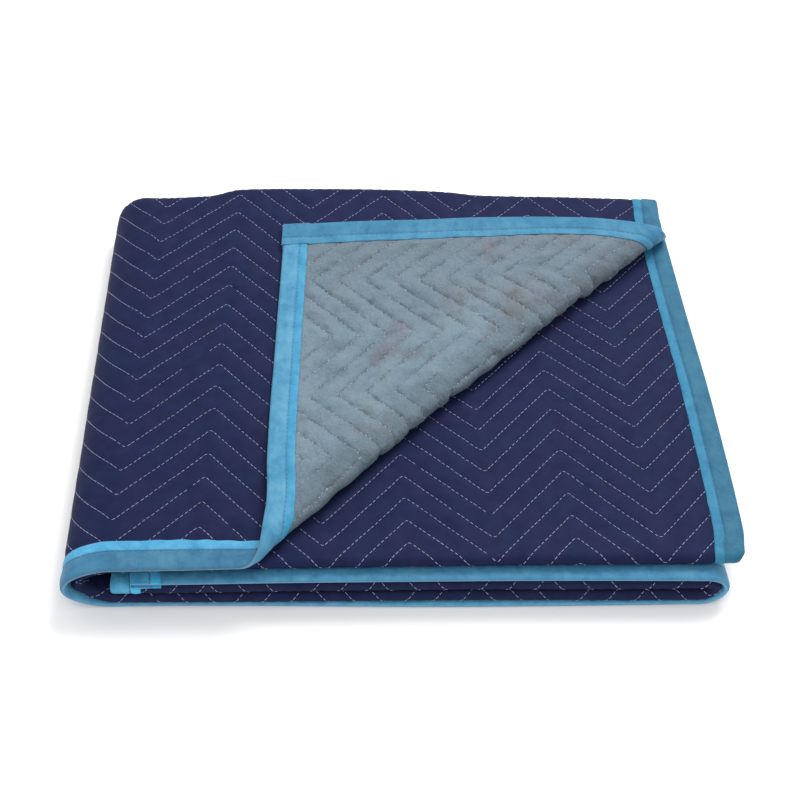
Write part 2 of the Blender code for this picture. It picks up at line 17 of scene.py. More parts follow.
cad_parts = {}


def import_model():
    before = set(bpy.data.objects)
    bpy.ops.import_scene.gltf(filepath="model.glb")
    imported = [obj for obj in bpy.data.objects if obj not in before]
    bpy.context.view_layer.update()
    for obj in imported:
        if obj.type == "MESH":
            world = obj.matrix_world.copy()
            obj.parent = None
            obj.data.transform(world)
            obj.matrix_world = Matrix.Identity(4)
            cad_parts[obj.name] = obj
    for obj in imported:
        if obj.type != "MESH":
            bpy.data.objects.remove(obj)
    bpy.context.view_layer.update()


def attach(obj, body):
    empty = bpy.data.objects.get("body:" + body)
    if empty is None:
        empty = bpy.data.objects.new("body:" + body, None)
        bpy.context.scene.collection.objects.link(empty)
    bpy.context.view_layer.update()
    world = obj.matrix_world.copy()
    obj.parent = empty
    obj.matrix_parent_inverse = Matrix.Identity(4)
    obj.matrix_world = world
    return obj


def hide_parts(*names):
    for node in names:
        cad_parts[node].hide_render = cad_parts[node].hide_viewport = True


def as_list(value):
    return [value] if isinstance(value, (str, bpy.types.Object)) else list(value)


# Cloth, as in the solids
PLY = 0.0056
PITCH = 0.00685
EDGE_PLY = 0.0026
TOP_END = 0.51
BASE_LENGTH = 0.497
BACK_BEND = math.pi * PITCH
FRONT_BEND = math.pi * PITCH / 2
BACK_END = TOP_END + BACK_BEND
BASE_END = BACK_END + BASE_LENGTH
FRONT_END = BASE_END + FRONT_BEND
SHORT_SIDE = 1.524

# Path of the folded stack
X_START = 0.3
X_LEFT = -0.272
LEFT_REACH = 0.0403
X_RIGHT_FRONT = 0.2794
X_RIGHT_BACK = 0.269
RIGHT_REACH = 0.0155
X_TUCKED = -0.273
PACK_FRONT = -0.262
PACK_DEPTH = 0.52
HEIGHT_LOW = PLY / 2 + PITCH
HEIGHT_MID = HEIGHT_LOW + 3 * PITCH
HEIGHT_TOP = HEIGHT_MID + 3 * PITCH
LEFT_RADIUS = 3 * PITCH
RIGHT_RADIUS = 1.5 * PITCH

# Turned-back corner
CREASE_START = np.array([-0.134, -0.2546])
CREASE_RUN = np.array([0.298, 0.1597]) - CREASE_START
CREASE_LENGTH = math.hypot(*CREASE_RUN)
ALONG_X, ALONG_Y = CREASE_RUN / CREASE_LENGTH
CREASE_BOW = 0.008
ROLL_FRONT = 0.0092
ROLL_RIGHT = 0.0105
SETTLE = 0.13

# Binding tape
TAPE_WIDTH = 0.027
TAPE_THICK = 0.0009
TAPE_OVERHANG = 0.0016
EDGE_GAP = 0.0007
GAP = 0.0003
TAPE_UNDER = EDGE_PLY / 2 + GAP
TAPE_OVER = TAPE_UNDER + TAPE_THICK

# Quilting relief: depth of a groove below the crown of a channel
NAVY_RELIEF = 0.0011
GREY_RELIEF = 0.0032
MOST_DRAWN = 0.001  # the felt is drawn no further than this past the middle of the ply
SWELL_START = TAPE_WIDTH - 0.002
SWELL_RUN = 0.009


def half_ellipse(reach, radius):
    """Angles and run of a half ellipse that turns from one ply of the pack to another."""
    angle = np.linspace(0, math.pi, 721)
    step = np.hypot(np.diff(reach * np.sin(angle)), np.diff(radius * np.cos(angle)))
    return angle, np.concatenate([[0], np.cumsum(step)])


LEFT_ANGLE, LEFT_RUN = half_ellipse(LEFT_REACH, LEFT_RADIUS)
RIGHT_ANGLE, RIGHT_RUN = half_ellipse(RIGHT_REACH, RIGHT_RADIUS)
A_LEFT = X_START - X_LEFT
A_LOW = A_LEFT + LEFT_RUN[-1]
A_RIGHT = A_LOW + X_RIGHT_FRONT - X_LEFT
A_MID = A_RIGHT + RIGHT_RUN[-1]
A_TUCKED = A_MID + X_RIGHT_FRONT - X_TUCKED

# Place along A, then the depths of the bound edge, back crease, front crease and free edge
DEPTHS = [
    (0, -0.2516, 0.2417, -0.2525, 0.226),
    (0.1, -0.25, 0.247, -0.2512, 0.23),
    (0.2, -0.2496, 0.2527, -0.25, 0.233),
    (0.25, -0.2502, 0.2605, -0.2495, 0.235),
    (0.32, -0.2496, 0.265, -0.249, 0.238),
    (0.37, -0.2474, 0.2668, -0.249, 0.2388),
    (0.4, -0.25, 0.2678, -0.249, 0.2393),
    (0.45, -0.2546, 0.269, -0.249, 0.24),
    (0.478, -0.2546, 0.2685, -0.2492, 0.2395),
    (0.515, -0.2546, 0.258, -0.2495, 0.2385),
    (A_LEFT, -0.2546, 0.256, -0.25, 0.237),
    (A_LEFT + 0.022, -0.2565, 0.26, -0.2515, 0.235),
    ((A_LEFT + A_LOW) / 2, -0.2585, 0.253, -0.254, 0.226),
    (A_LOW, -0.258, 0.2515, -0.261, 0.231),
    (A_RIGHT - 0.2, -0.2655, 0.254, -0.266, 0.236),
    (A_RIGHT, -0.2668, 0.247, -0.27, 0.231),
    ((A_RIGHT + A_MID) / 2, -0.264, 0.24, -0.266, 0.225),
    (A_MID, -0.2635, 0.245, -0.266, 0.23),
    (A_MID + 0.25, -0.2585, 0.253, -0.262, 0.235),
    (A_TUCKED, -0.2566, 0.248, -0.26, 0.232),
]
# Place along B, then how far the right and the tucked cut end stray
CUT_ENDS = [
    (0, -0.004, -0.019),
    (0.08, -0.0115, -0.012),
    (0.16, -0.0185, -0.006),
    (0.22, -0.0255, -0.003),
    (0.28, -0.0285, -0.001),
    (0.34, -0.0235, 0.001),
    (0.39, -0.0135, 0.001),
    (0.47, 0.0025, 0.002),
    (TOP_END, 0.001, 0.002),
    (BACK_END, 0.001, 0.002),
    (BASE_END, -0.015, 0.001),
    (FRONT_END, -0.015, 0.001),
    (FRONT_END + 0.03, -0.018, 0.001),
    (SHORT_SIDE, 0.001, 0.001),
]
TUCK = 0.0072  # the cut end is drawn in this far where it turns round the front crease
TUCK_REACH = 0.02
TUCK_RUN = 0.0105
TUCK_ABOVE = 0.002  # the slant starts this far behind the crease in the ply above it
TUCK_BELOW = 0.017  # and this far in the one below, which stays hidden


def curve(table, column):
    """A smooth curve through a column of a table, with no overshoot between its rows."""
    places, values = (np.array([row[k] for row in table]) for k in (0, column))
    gaps = np.diff(places)
    rises = np.diff(values) / gaps
    before, after = rises[:-1], rises[1:]
    same = before * after > 0
    mean = 2 * before * after / np.where(same, before + after, 1)
    slopes = np.concatenate([[rises[0]], np.where(same, mean, 0), [rises[-1]]])

    def at(place):
        place = np.clip(place, places[0], places[-1])
        k = np.clip(np.searchsorted(places, place, side="right") - 1, 0, len(gaps) - 1)
        t, gap = (place - places[k]) / gaps[k], gaps[k]
        low = values[k] * (1 + 2 * t) * (1 - t) ** 2 + slopes[k] * gap * t * (1 - t) ** 2
        return low + values[k + 1] * t * t * (3 - 2 * t) + slopes[k + 1] * gap * t * t * (t - 1)

    return at


edge_depth, back_depth, front_depth, free_depth = (curve(DEPTHS, k) for k in (1, 2, 3, 4))
right_end, tucked_stray = curve(CUT_ENDS, 1), curve(CUT_ENDS, 2)


def tucked_end(b):
    return A_TUCKED + tucked_stray(b)


def limits(a):
    """Depths between which the plies lie: bound edge, back crease, front crease and free edge."""
    back = back_depth(a) - PITCH - PLY / 2
    front = front_depth(a) + (PITCH + PLY) / 2
    return edge_depth(a), back, front, free_depth(a)


def smoothstep(value):
    value = np.clip(value, 0, 1)
    return value * value * (3 - 2 * value)


def between(value, low, high, rise, fall):
    """1 between two places, with a smooth rise from the low one and a smooth fall to the high one."""
    return smoothstep((value - low) / rise) * smoothstep((high - value) / fall)


# From the flat cut to the folded pack


def section(a, b):
    """Depth y, height w in the stack of three, and the outward normal (ny, nw) of the navy face."""
    edge, back, front, free = limits(a)
    turn_back = np.pi / 2 - np.clip((b - TOP_END) / BACK_BEND, 0, 1) * np.pi
    turn_front = np.clip((b - BASE_END) / FRONT_BEND, 0, 1) * np.pi
    cases = [b <= TOP_END, b <= BACK_END, b <= BASE_END, b <= FRONT_END]
    depths = [
        edge + (back - edge) * b / TOP_END,
        back + PITCH * np.cos(turn_back),
        back + (front - back) * (b - BACK_END) / BASE_LENGTH,
        front - PITCH / 2 * np.sin(turn_front),
    ]
    heights = [PITCH, PITCH * np.sin(turn_back), -PITCH, -PITCH / 2 * (1 + np.cos(turn_front))]
    y = np.select(cases, depths, front + (free - front) * (b - FRONT_END) / (SHORT_SIDE - FRONT_END))
    ny = np.select(cases, [0, np.cos(turn_back), 0, -np.sin(turn_front)])
    nw = np.select(cases, [1, np.sin(turn_back), -1, -np.cos(turn_front)], 1)
    return y, np.select(cases, heights), ny, nw


def path(a, y, w):
    """Plan x and height z of the stack of three along A, at height w in the stack."""
    right = X_RIGHT_FRONT + (X_RIGHT_BACK - X_RIGHT_FRONT) * (y - PACK_FRONT) / PACK_DEPTH
    left_turn = np.interp(a - A_LEFT, LEFT_RUN, LEFT_ANGLE)
    right_turn = np.interp(a - A_RIGHT, RIGHT_RUN, RIGHT_ANGLE)
    cases = [a <= A_LEFT, a <= A_LOW, a <= A_RIGHT, a <= A_MID]
    plan = [
        X_START - a,
        X_LEFT - (LEFT_REACH + w) * np.sin(left_turn),
        X_LEFT + (right - X_LEFT) * (a - A_LOW) / (A_RIGHT - A_LOW),
        right + (RIGHT_REACH + w) * np.sin(right_turn),
    ]
    heights = [
        HEIGHT_TOP + w,
        HEIGHT_MID + (LEFT_RADIUS + w) * np.cos(left_turn),
        HEIGHT_LOW - w,
        (HEIGHT_LOW + HEIGHT_MID) / 2 - (RIGHT_RADIUS + w) * np.cos(right_turn),
    ]
    return np.select(cases, plan, right - (a - A_MID)), np.select(cases, heights, HEIGHT_MID + w)


def past_crease(x, y):
    """Where a point in plan lies along the crease, as a share, and how far past it."""
    dx, dy = x - CREASE_START[0], y - CREASE_START[1]
    share = (dx * ALONG_X + dy * ALONG_Y) / CREASE_LENGTH
    return share, dx * ALONG_Y - dy * ALONG_X + 4 * CREASE_BOW * share * (1 - share)


def turn_corner(x, y, z, n):
    """Points n above the middle of the top ply, with the corner past the crease turned back."""
    share, e = past_crease(x, y)
    radius = ROLL_FRONT + (ROLL_RIGHT - ROLL_FRONT) * share
    half = radius * np.pi / 2
    turn = np.clip((e + half) / radius, 0, np.pi)
    settled = np.clip((e - half) / SETTLE, 0, 1)
    lift = PITCH + (2 * radius - PITCH) * (1 - settled) ** 2 * (1 + 2 * settled)
    new_e = np.where(e > half, -e, -half + (radius - n) * np.sin(turn))
    rise = np.where(e > half, lift - n, radius - (radius - n) * np.cos(turn))
    turned = e > -half
    move = np.where(turned, new_e - e, 0)
    return x + move * ALONG_Y, y - move * ALONG_X, np.where(turned, z + rise, z + n)


def corner_place(a, b):
    """How far past the corner's crease a point of the flat cut lies."""
    return past_crease(X_START - a, section(a, b)[0])[1]


def ripples(x, y, length, seed, count=7):
    """A smooth random surface between about -1 and 1, with waves of about one length."""
    dice = np.random.default_rng(seed)
    total = np.zeros_like(x)
    for _ in range(count):
        angle, phase = dice.uniform(0, 2 * np.pi, 2)
        wave = 2 * np.pi / (length * dice.uniform(0.75, 1.4))
        total += np.sin(wave * (x * np.cos(angle) + y * np.sin(angle)) + phase)
    return total / math.sqrt(count)


PACK_TOP = HEIGHT_TOP + PITCH
SAG = 0.0006  # unevenness of the whole pack, at its top


def sag(points):
    """The pack's own unevenness, which grows with height so that the plies stay apart."""
    x, y, z = points[..., 0], points[..., 1], points[..., 2]
    level = np.clip(z / PACK_TOP, 0, 1.3)
    moved = points.copy()
    moved[..., 2] += SAG * level * ripples(x, y, 0.16, 11)
    return moved


CRUMPLE = 0.0035
CRUMPLE_WAVE = 0.016
CRUMPLE_REACH = 0.05  # either side of the front crease
CRUMPLE_FADE = 0.35  # share of the left fold's turn over which it fades at both ends


def crumpled(a, b):
    """How far the front crease is pushed into the hollow of the left fold."""
    inside = between((a - A_LEFT) / LEFT_RUN[-1], 0, 1, CRUMPLE_FADE, CRUMPLE_FADE)
    near = between(b, BASE_END - CRUMPLE_REACH, FRONT_END + CRUMPLE_REACH, CRUMPLE_REACH, CRUMPLE_REACH)
    return CRUMPLE * inside * near * np.clip(0.6 + 0.6 * ripples(a, b, CRUMPLE_WAVE, 71), 0, 2)


def drawn_in(a, b):
    """How far a place near the cut end is drawn in at the front crease."""
    below = np.clip((b - BASE_END + TUCK_BELOW) / TUCK_RUN, 0, 1)
    near = below * np.clip((FRONT_END + TUCK_ABOVE - b) / TUCK_RUN, 0, 1)
    return TUCK * near * np.clip(1 - (a - right_end(b)) / TUCK_REACH, 0, 1)


def fold_point(a, b, n):
    """Flat cut to folded pack: n is the distance above the middle of the ply, on the navy side."""
    a, b, n = np.broadcast_arrays(*(np.asarray(v, float) for v in (a, b, n)))
    a = a + drawn_in(a, b)
    y, w, ny, nw = section(a, b)
    x, z = path(a, y, w + n * nw)
    flat_x, flat_z = path(a, y, w)
    turned = turn_corner(flat_x, y, flat_z, n)
    top_ply = (a <= A_LEFT) & (b <= TOP_END)
    folded = [np.where(top_ply, t, v) for t, v in zip(turned, (x, y + n * ny, z))]
    folded[0] = folded[0] + crumpled(a, b)
    return sag(np.stack(folded, axis=-1))


# Zigzag rows. A lattice gives, at each bend along A, the depth of row 0 and the distance between rows

Lattice = namedtuple("Lattice", "bend depth pitch lean")
FOLD_SKEW_FROM = 8  # the rows lie this much deeper from this bend on, where the pack turns under
FOLD_SKEW = 0.018
BEND_ROUND = 0.03  # share of a run over which a row rounds each bend
FOLD_BOW = 0.0045  # the rows bow nearer by this much where they turn over the left fold
FOLD_BOW_END = 0.64
CREASE_STEEP = 0.65  # the rows slant more over the front crease, by this share


TOP_BENDS = np.arange(-1, 26)  # the far bends have even numbers
TOP_ROWS = Lattice(
    -0.0075 + 0.0823 * TOP_BENDS,
    -0.2193 + np.where(TOP_BENDS % 2 == 0, 0.0792, 0) + 0.0028 * TOP_BENDS,
    0.02895 + 0 * TOP_BENDS,
    -0.031,
)
TOP_ROWS.depth[FOLD_SKEW_FROM + 1 :] += FOLD_SKEW
MORE_BENDS = np.arange(1, 20)  # past the six that show on the middle ply
MORE_DEPTHS = np.where(MORE_BENDS % 2 == 1, -0.072, -0.15)
MIDDLE_ROWS = Lattice(
    np.append([-0.0066, 0.0725, 0.1516, 0.2285, 0.3087, 0.3891], 0.3891 + 0.0795 * MORE_BENDS),
    np.append([-0.0683, -0.1459, -0.0681, -0.1453, -0.0717, -0.1513], MORE_DEPTHS),
    np.append([0.0268, 0.0268, 0.0263, 0.0259, 0.026, 0.026], 0.0262 + 0 * MORE_BENDS),
    0.055,
)


def rounded(share):
    """A straight run from bend to bend that rounds each bend a little."""
    e = BEND_ROUND
    low = share * share / (2 * e)
    high = 1 - e - (1 - share) ** 2 / (2 * e)
    middle = share - e / 2
    return np.select([share < e, share > 1 - e], [low, high], middle) / (1 - e)


def fold_bow(lattice, u):
    """How much nearer a row lies over the left fold than a straight run would."""
    share = np.clip((u - FOLD_SKEW_FROM) / FOLD_BOW_END, 0, 1)
    return FOLD_BOW * (lattice is TOP_ROWS) * np.sin(np.pi * share) ** 2


def lattice_at(lattice, u):
    """A, depth of row 0 and distance between rows at the places u, counted in bends."""
    k = np.clip(np.floor(u).astype(int), 0, len(lattice.bend) - 2)
    share = u - k
    shares = (share, rounded(share), share)
    columns = (lattice.bend, lattice.depth, lattice.pitch)
    a, depth, pitch = (v[k] + (v[k + 1] - v[k]) * t for v, t in zip(columns, shares))
    return a, depth - fold_bow(lattice, u), pitch


def row_line(lattice, row, u):
    """A and depth of the places u along a row."""
    a, depth, pitch = lattice_at(lattice, u)
    y = depth + row * pitch
    return a + lattice.lean * y, y


def row_phase(lattice, a, y):
    """Counts rows: a whole number on each stitch line. Also the place between bends."""
    u = np.interp(a - lattice.lean * y, lattice.bend, np.arange(len(lattice.bend)))
    _, depth, pitch = lattice_at(lattice, u)
    return (y - depth) / pitch, u


def top_depth(a, b):
    """Depth along the top ply, carried on straight over the back crease and the base ply."""
    edge, back, front, _ = limits(a)
    base = back + BACK_BEND + (b - BACK_END) * (back - front) / BASE_LENGTH
    depths = [edge + (back - edge) * b / TOP_END, back + b - TOP_END]
    return np.select([b <= TOP_END, b <= BACK_END], depths, base)


def top_place(a, y):
    """B of a depth on the top ply or the back crease."""
    edge, back, _, _ = limits(a)
    return np.where(y <= back, (y - edge) / (back - edge) * TOP_END, TOP_END + y - back)


def middle_depth(a, b):
    """Depth along the middle ply, carried on straight over the front crease."""
    _, _, front, free = limits(a)
    along = front + (free - front) * (b - FRONT_END) / (SHORT_SIDE - FRONT_END)
    return np.where(b >= FRONT_END, along, front + (b - FRONT_END) / CREASE_STEEP)


def middle_place(a, y):
    _, _, front, free = limits(a)
    along = FRONT_END + (y - front) / (free - front) * (SHORT_SIDE - FRONT_END)
    return np.where(y >= front, along, FRONT_END + (y - front) * CREASE_STEEP)


def phase(a, b):
    """Row count and bend count of a point of the flat cut."""
    top = row_phase(TOP_ROWS, a, top_depth(a, b))
    middle = row_phase(MIDDLE_ROWS, a, middle_depth(a, b))
    on_middle = b > (BACK_END + BASE_END) / 2
    return tuple(np.where(on_middle, m, t) for t, m in zip(top, middle))


# Parts of the cloth that show, where the quilting is fine

QUILTED_FROM = TAPE_WIDTH - 0.005  # the quilting runs a little way in under the binding
FOLD_SHOWN = 0.006
HIDDEN_CORNER = 0.026  # past the crease by this much, the corner's navy face is out of sight
ROLL_REACH = 0.035  # before the corner's crease by this much, the cloth starts to show again


def within(a, b, margin):
    """Where the flat cut is more than a margin in from every edge."""
    across = (b > margin) & (b < SHORT_SIDE - margin)
    return across & (a > right_end(b) + margin) & (a < tucked_end(b) - margin)


def on_corner(a, b):
    return (a < A_LEFT) & (b < TOP_END)


def top_shown(a, b):
    """Navy face of the top ply, both side folds and the whole back crease."""
    folds = (a < A_LOW + FOLD_SHOWN) | ((A_RIGHT - FOLD_SHOWN < a) & (a < A_MID + FOLD_SHOWN))
    crease = b > TOP_END - FOLD_SHOWN
    hidden = on_corner(a, b) & (corner_place(a, b) > HIDDEN_CORNER)
    return (folds | crease) & ~hidden & (b < BACK_END + FOLD_SHOWN) & within(a, b, QUILTED_FROM)


def top_under(a, b):
    """Navy face on the underside of the pack."""
    low = (a >= A_LOW + FOLD_SHOWN) & (a <= A_RIGHT - FOLD_SHOWN)
    return low & (b <= TOP_END - FOLD_SHOWN) & within(a, b, QUILTED_FROM)


def middle_shown(a, b):
    """Navy face of the middle ply where the corner leaves it open, and the whole front crease."""
    opened = (a < A_LEFT) & (b > FRONT_END) & (corner_place(a, b) > -ROLL_REACH)
    crease = (b > BASE_END - FOLD_SHOWN) & (b < FRONT_END + 0.014)
    return (opened | crease) & within(a, b, QUILTED_FROM)


def navy_shown(a, b):
    return top_shown(a, b) | top_under(a, b) | middle_shown(a, b)


def corner_shown(a, b):
    """Grey face: the turned corner and its roll."""
    return on_corner(a, b) & (corner_place(a, b) > -ROLL_REACH) & within(a, b, QUILTED_FROM)


# Rows, how a depth becomes a place of the cut, where they show, on which face and how far
Quilting = namedtuple("Quilting", "rows place_of shown side last_a last_row")
LAST_ROW = 28
TOP = Quilting(TOP_ROWS, top_place, top_shown, 1, A_TUCKED, LAST_ROW)
UNDER = Quilting(TOP_ROWS, top_place, top_under, 1, A_RIGHT, LAST_ROW)
MIDDLE = Quilting(MIDDLE_ROWS, middle_place, middle_shown, 1, A_TUCKED, 24)
CORNER = Quilting(TOP_ROWS, top_place, corner_shown, -1, A_LEFT, LAST_ROW)

# Thickness

CHANNEL_LINES = (0, 0.05, 0.15, 0.32, 0.5, 0.68, 0.85, 0.95)
FELT_LINES = (0, 0.035, 0.08, 0.16, 0.3, 0.5, 0.7, 0.84, 0.92, 0.965)
FELT_STEPS = 30
UNDER_LINES = (0, 0.25, 0.5, 0.75)
FIRST_ROW = -14
CHANNEL_STEPS = 24  # points from one bend to the next
UNDER_STEPS = 10
ROLL_SEEN = 0.036  # past the crease by this much, the turned corner lies flat
ROLL_FADE = 0.018
ROLL_FLATTER = 0.45  # share by which the felt's relief is less over the roll
UNEVEN = 0.18
WIDE_FROM, WIDE_TO = 0.44, 0.66
WIDE_LEG = 0.15
WIDE_CORNER = 0.18
TIGHT_FOLD, TIGHT_CREASE = 0.7, 0.9
PUCKER_NAVY = (0.00026, 0.00024)  # near the stitch lines, and everywhere
PUCKER_FELT = (0.00105, 0.00085)


def puff(row, side):
    """Height of a channel, from 0 on its stitch lines to 1 on its crown."""
    from_crown = np.abs(2 * np.mod(row, 1) - 1)
    return (1 - from_crown ** (2.0 if side > 0 else 2.3)) ** 0.75


def slackness(a, b):
    """1 on the flats, and less round the folds, where the cloth is drawn tight."""
    left = between(a, A_LEFT - 0.03, A_LOW + 0.01, 0.03, 0.02)
    back = between(b, TOP_END - 0.015, BACK_END + 0.015, 0.015, 0.015)
    front = between(b, BASE_END - 0.012, FRONT_END + 0.03, 0.012, 0.015)
    return 1 - np.max([TIGHT_FOLD * left, TIGHT_FOLD * back, TIGHT_CREASE * front], axis=0)


def rolled(a, b):
    """1 over the roll of the turned corner, 0 where it lies flat."""
    return smoothstep((ROLL_SEEN - corner_place(a, b)) / ROLL_FADE)


def groove_depth(a, b, side):
    """Relief of the quilting at a place."""
    uneven = 1 + UNEVEN * ripples(a, b, 0.05, 21)
    if side > 0:
        return NAVY_RELIEF * uneven * slackness(a, b)
    return GREY_RELIEF * uneven * (1 - ROLL_FLATTER * rolled(a, b))


def front_spread(a):
    """The front tape was folded unevenly: over this stretch its navy leg is wider."""
    return 1 + WIDE_LEG * between(a, WIDE_FROM, WIDE_TO, 0.08, 0.04)


def right_spread(b):
    """The right tape is wider along the turned corner."""
    return 1 + WIDE_CORNER * smoothstep((0.44 - b) / 0.05)


def half_thickness(a, b, side, fine):
    """Distance of one face from the middle of the ply."""
    from_right = (a - right_end(b)) / right_spread(b)
    to_edge = np.min([b / front_spread(a), SHORT_SIDE - b, from_right, tucked_end(b) - a], axis=0)
    swelled = smoothstep((to_edge - SWELL_START) / SWELL_RUN)
    row, _ = phase(a, b)
    depth = groove_depth(a, b, side)
    seam = np.exp(-((np.abs(np.mod(row + 0.5, 1) - 0.5) / 0.2) ** 2))
    near, broad = PUCKER_NAVY if side > 0 else PUCKER_FELT
    pucker = near * seam * ripples(a, b, 0.012, 31) + broad * ripples(a, b, 0.026, 32)
    pucker = pucker * (slackness(a, b) if side > 0 else 1)
    drawn = np.minimum(depth * (1 - puff(row, side)) - pucker, PLY / 2 + MOST_DRAWN)
    loss = np.where(fine, drawn, NAVY_RELIEF / 2)
    return EDGE_PLY / 2 + (PLY / 2 - loss - EDGE_PLY / 2) * swelled


# Meshes


def split_where(inside, points):
    """The runs of a polyline's points that lie inside."""
    states = np.concatenate([[False], inside, [False]]).astype(int)
    starts, ends = np.flatnonzero(np.diff(states) == 1), np.flatnonzero(np.diff(states) == -1)
    return [points[s:e] for s, e in zip(starts, ends) if e - s > 1]


def row_points(quilting, rows, steps):
    """Points of the flat cut along each of the given rows."""
    bends = int(np.searchsorted(quilting.rows.bend, quilting.last_a + 0.05))
    u = np.linspace(0, bends, bends * steps + 1)
    for row in rows:
        a, y = row_line(quilting.rows, row, u)
        yield np.stack([a, quilting.place_of(a, y)], axis=1)


def channel_lines(quilting, fractions, steps):
    """Polylines at fixed places across every channel, kept where they show."""
    rows = [row + fraction for row in range(FIRST_ROW, quilting.last_row) for fraction in fractions]
    lines = []
    for points in row_points(quilting, rows, steps):
        lines += split_where(quilting.shown(*points.T), points)
    return lines


def dense(values, step):
    """Places between the given ones, at most one step apart."""
    values = sorted(values)
    spans = list(zip(values, values[1:]))
    counts = [max(2, math.ceil((q - p) / step) + 1) for p, q in spans]
    parts = [np.linspace(*span, count)[:-1] for span, count in zip(spans, counts)]
    return np.concatenate(parts + [values[-1:]])


FOLDS_A = (A_LEFT, A_LOW, A_RIGHT, A_MID)
FOLDS_B = (TOP_END, BACK_END, BASE_END, FRONT_END)
EDGE_STEP = 0.006
ROLL_STEP = 0.002  # where an edge passes through the roll of the turned corner
FRONT_ROLL, RIGHT_ROLL = (0.37, 0.48), (0.38, 0.48)
FLAT_STEP = 0.02
CLOSE_STEP = 0.003


def cloth_outline():
    """Outline of the flat cut."""
    near, far = (
        dense([float(right_end(b)), *roll, *FOLDS_A, float(tucked_end(b))], EDGE_STEP)
        for b, roll in ((0, dense(FRONT_ROLL, ROLL_STEP)), (SHORT_SIDE, ()))
    )
    b = dense([0, *FOLDS_B, SHORT_SIDE], EDGE_STEP)[1:-1]
    right = dense([0, *dense(RIGHT_ROLL, ROLL_STEP), *FOLDS_B, SHORT_SIDE], EDGE_STEP)[1:-1]
    sides = [
        np.stack([near, 0 * near], axis=1),
        np.stack([tucked_end(b), b], axis=1),
        np.stack([far[::-1], SHORT_SIDE + 0 * far], axis=1),
        np.stack([right_end(right[::-1]), right[::-1]], axis=1),
    ]
    return np.concatenate(sides)


def grid_points(a, b):
    """A and B of every crossing of two sets of lines."""
    return np.stack(np.meshgrid(a, b), axis=-1).reshape(-1, 2).T


def at_roll(a, b):
    return on_corner(a, b) & (np.abs(corner_place(a, b)) < ROLL_REACH)


def coarse_points(fine):
    """Loose points where nothing shows, close together only at the folds and the roll."""
    a = [A_LEFT + LEFT_RUN[-1] * np.linspace(0, 1, 15), A_RIGHT + RIGHT_RUN[-1] * np.linspace(0, 1, 11)]
    a += [dense(flat, FLAT_STEP) for flat in ((0, A_LEFT), (A_LOW, A_RIGHT), (A_MID, A_TUCKED))]
    b = [TOP_END + BACK_BEND * np.linspace(0, 1, 9), BASE_END + FRONT_BEND * np.linspace(0, 1, 7)]
    b += [dense(flat, FLAT_STEP) for flat in ((0, TOP_END), (BACK_END, BASE_END), (FRONT_END, SHORT_SIDE))]
    grid = grid_points(*(np.unique(np.round(np.concatenate(places), 6)) for places in (a, b)))
    keep = within(*grid, 0.005) & ~fine(*grid) & ~at_roll(*grid)
    close = grid_points(dense((0, A_LEFT), CLOSE_STEP), dense((0, TOP_END), CLOSE_STEP))
    under_tape = ~within(*close, QUILTED_FROM) & within(*close, 0.002) & at_roll(*close)
    return np.concatenate([grid.T[keep], close.T[under_tape]])


def triangulate(outline, lines, loose):
    """Triangles of a flat outline that keep every line as edges."""
    points, edges, first = [outline], [], len(outline)
    edges += [(k, (k + 1) % first) for k in range(first)]
    for line in lines:
        edges += [(first + k, first + k + 1) for k in range(len(line) - 1)]
        points.append(line)
        first += len(line)
    points = np.concatenate(points + [loose])
    result = delaunay_2d_cdt([tuple(p) for p in points], edges, [], 1, 2e-6)
    return np.array([tuple(p) for p in result[0]], float), [tuple(f) for f in result[2]]


def rim(faces):
    """Edges with one face, in the direction of that face."""
    sides = [(f[k], f[(k + 1) % len(f)]) for f in faces for k in range(len(f))]
    used = Counter(frozenset(side) for side in sides)
    return [side for side in sides if used[frozenset(side)] == 1]


def link(name, data):
    obj = bpy.data.objects.new(name, data)
    bpy.context.scene.collection.objects.link(obj)
    return obj


def new_object(name, vertices, polygons, materials, owners=None):
    mesh = bpy.data.meshes.new(name)
    mesh.from_pydata(vertices, [], polygons)
    if owners is not None:
        mesh.polygons.foreach_set("material_index", owners)
    for material in materials:
        mesh.materials.append(material)
    mesh.shade_smooth()
    return link(name, mesh)


def give_vector(obj, name, columns):
    attribute = obj.data.attributes.new(name, "FLOAT_VECTOR", "POINT")
    attribute.data.foreach_set("vector", np.stack(columns, axis=1).astype(np.float32).ravel())


def face_outwards(obj):
    """Splits the faces of more than four sides and turns every face outwards."""
    shape = bmesh.new()
    shape.from_mesh(obj.data)
    bmesh.ops.triangulate(shape, faces=[f for f in shape.faces if len(f.verts) > 4])
    bmesh.ops.recalc_face_normals(shape, faces=shape.faces)
    shape.to_mesh(obj.data)
    shape.free()


